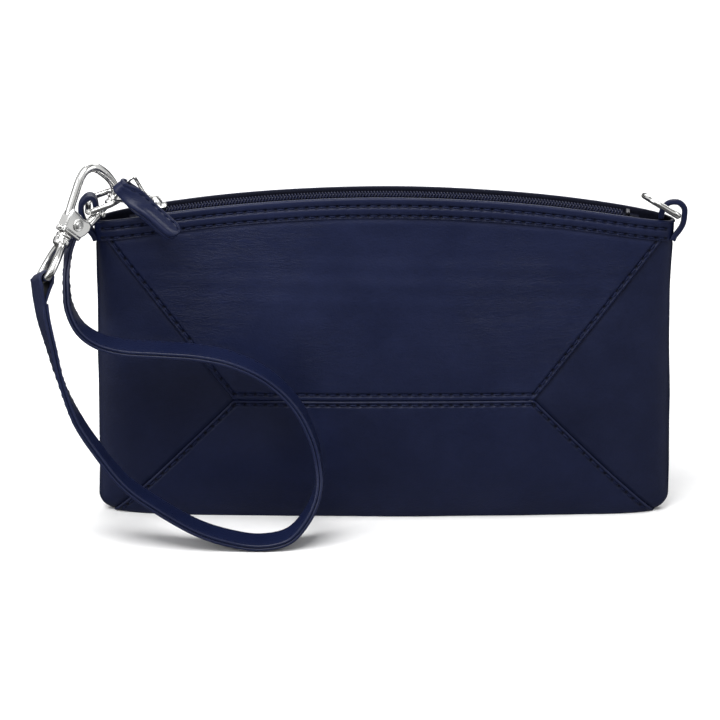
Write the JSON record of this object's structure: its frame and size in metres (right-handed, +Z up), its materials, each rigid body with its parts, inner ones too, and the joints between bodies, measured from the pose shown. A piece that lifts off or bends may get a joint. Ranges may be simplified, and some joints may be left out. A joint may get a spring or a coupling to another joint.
{
  "type": "wristlet wallet",
  "caption": "Padded leather wristlet wallet with an arched zip mouth, side D-rings and a doubled wrist strap clipped on by a swivel snap hook",
  "frame": {"origin": "centre of the flat base the pouch stands on", "axes": "+X along the width towards the right end seen from the front, +Y to the back, +Z up to the zip"},
  "size_m": [0.2256, 0.0581, 0.128],
  "materials": {
    "navy_leather": "smooth navy leather with a fine soft grain, satin",
    "base_leather": "smooth navy leather, darker",
    "pull_leather": "smooth navy leather, glazed edges",
    "strap_leather": "smooth navy leather, two layers edge-stitched",
    "lining_fabric": "plain woven lining, near black",
    "slot_leather": "thin navy leather",
    "zip_fabric": "woven zip tape, dark navy",
    "zip_nylon": "nylon coil, dark navy",
    "nickel": "bright polished nickel plate",
    "spring_steel": "drawn spring wire"
  },
  "bodies": {
    "pouch": {"front_upper_panel": "navy_leather", "front_lower_panel": "navy_leather", "front_left_panel": "navy_leather", "front_right_panel": "navy_leather", "back_panel": "navy_leather", "front_mouth_band": "navy_leather", "back_mouth_band": "navy_leather", "base_gusset": "base_leather", "lining_pouch": "lining_fabric", "card_pocket_back": "lining_fabric", "card_slot_upper": "slot_leather", "card_slot_middle": "slot_leather", "card_slot_lower": "slot_leather", "zip_tape_front": "zip_fabric", "zip_tape_back": "zip_fabric", "zip_coil_front": "zip_nylon", "zip_coil_back": "zip_nylon", "zip_start_stop": "nickel", "zip_end_stop": "nickel", "ring_tab_left": "navy_leather", "ring_tab_right": "navy_leather"},
    "slider": {"zip_slider": "nickel"},
    "pull_link": {"zip_pull_link": "nickel"},
    "pull_leather": {"zip_pull_leather": "pull_leather"},
    "ring_right": {"d_ring_right": "nickel"},
    "ring_left": {"d_ring_left": "nickel"},
    "strap": {"wrist_strap_outer": "strap_leather", "wrist_strap_inner": "strap_leather"},
    "eye": {"swivel_eye": "nickel"},
    "hook": {"hook_body": "nickel", "hook_button": "nickel", "bolt_spring": "spring_steel"},
    "bolt": {"hook_bolt": "nickel"}
  },
  "joints": [
    {"name": "zip_slide", "type": "hinge", "parent": "pouch", "child": "slider", "pos_m": [0, 0, -0.392], "axis": [0, 1, 0], "range_deg": [0, 17.7]},
    {"name": "pull_swing", "type": "hinge", "parent": "slider", "child": "pull_link", "pos_m": [-0.0792, 0, 0.11252], "axis": [0, 1, 0], "range_deg": [-2, 60]},
    {"name": "leather_swing", "type": "hinge", "parent": "pull_link", "child": "pull_leather", "pos_m": [-0.0898, -0.009, 0.1206], "axis": [0.6227, -0.0316, 0.7819], "range_deg": [-30, 0]},
    {"name": "ring_right_swing", "type": "hinge", "parent": "pouch", "child": "ring_right", "pos_m": [0.1012, 0, 0.1072], "axis": [0, 0.9397, -0.342], "range_deg": [-5, 190]},
    {"name": "ring_left_swing", "type": "hinge", "parent": "pouch", "child": "ring_left", "pos_m": [-0.1019, 0, 0.1109], "axis": [0, 1, 0], "range_deg": [-6, 6]},
    {"name": "strap_lift", "type": "hinge", "parent": "pouch", "child": "strap", "pos_m": [-0.1019, -0.0076, 0.1109], "axis": [1, 0, 0], "range_deg": [-25, 0]},
    {"name": "eye_tilt", "type": "hinge", "parent": "strap", "child": "eye", "pos_m": [-0.1172, -0.02487, 0.09267], "axis": [-0.2477, 0.8669, -0.4327], "range_deg": [0, 1.3]},
    {"name": "hook_swivel", "type": "hinge", "parent": "eye", "child": "hook", "pos_m": [-0.10936, -0.01579, 0.10636], "axis": [0.4306, 0.4986, 0.7523], "range_deg": [-4, 4]},
    {"name": "bolt_slide", "type": "slide", "parent": "hook", "child": "bolt", "axis": [-0.6163, -0.6316, -0.4704], "range_m": [0, 0.0038], "stiffness_N_per_m": 60}
  ]
}
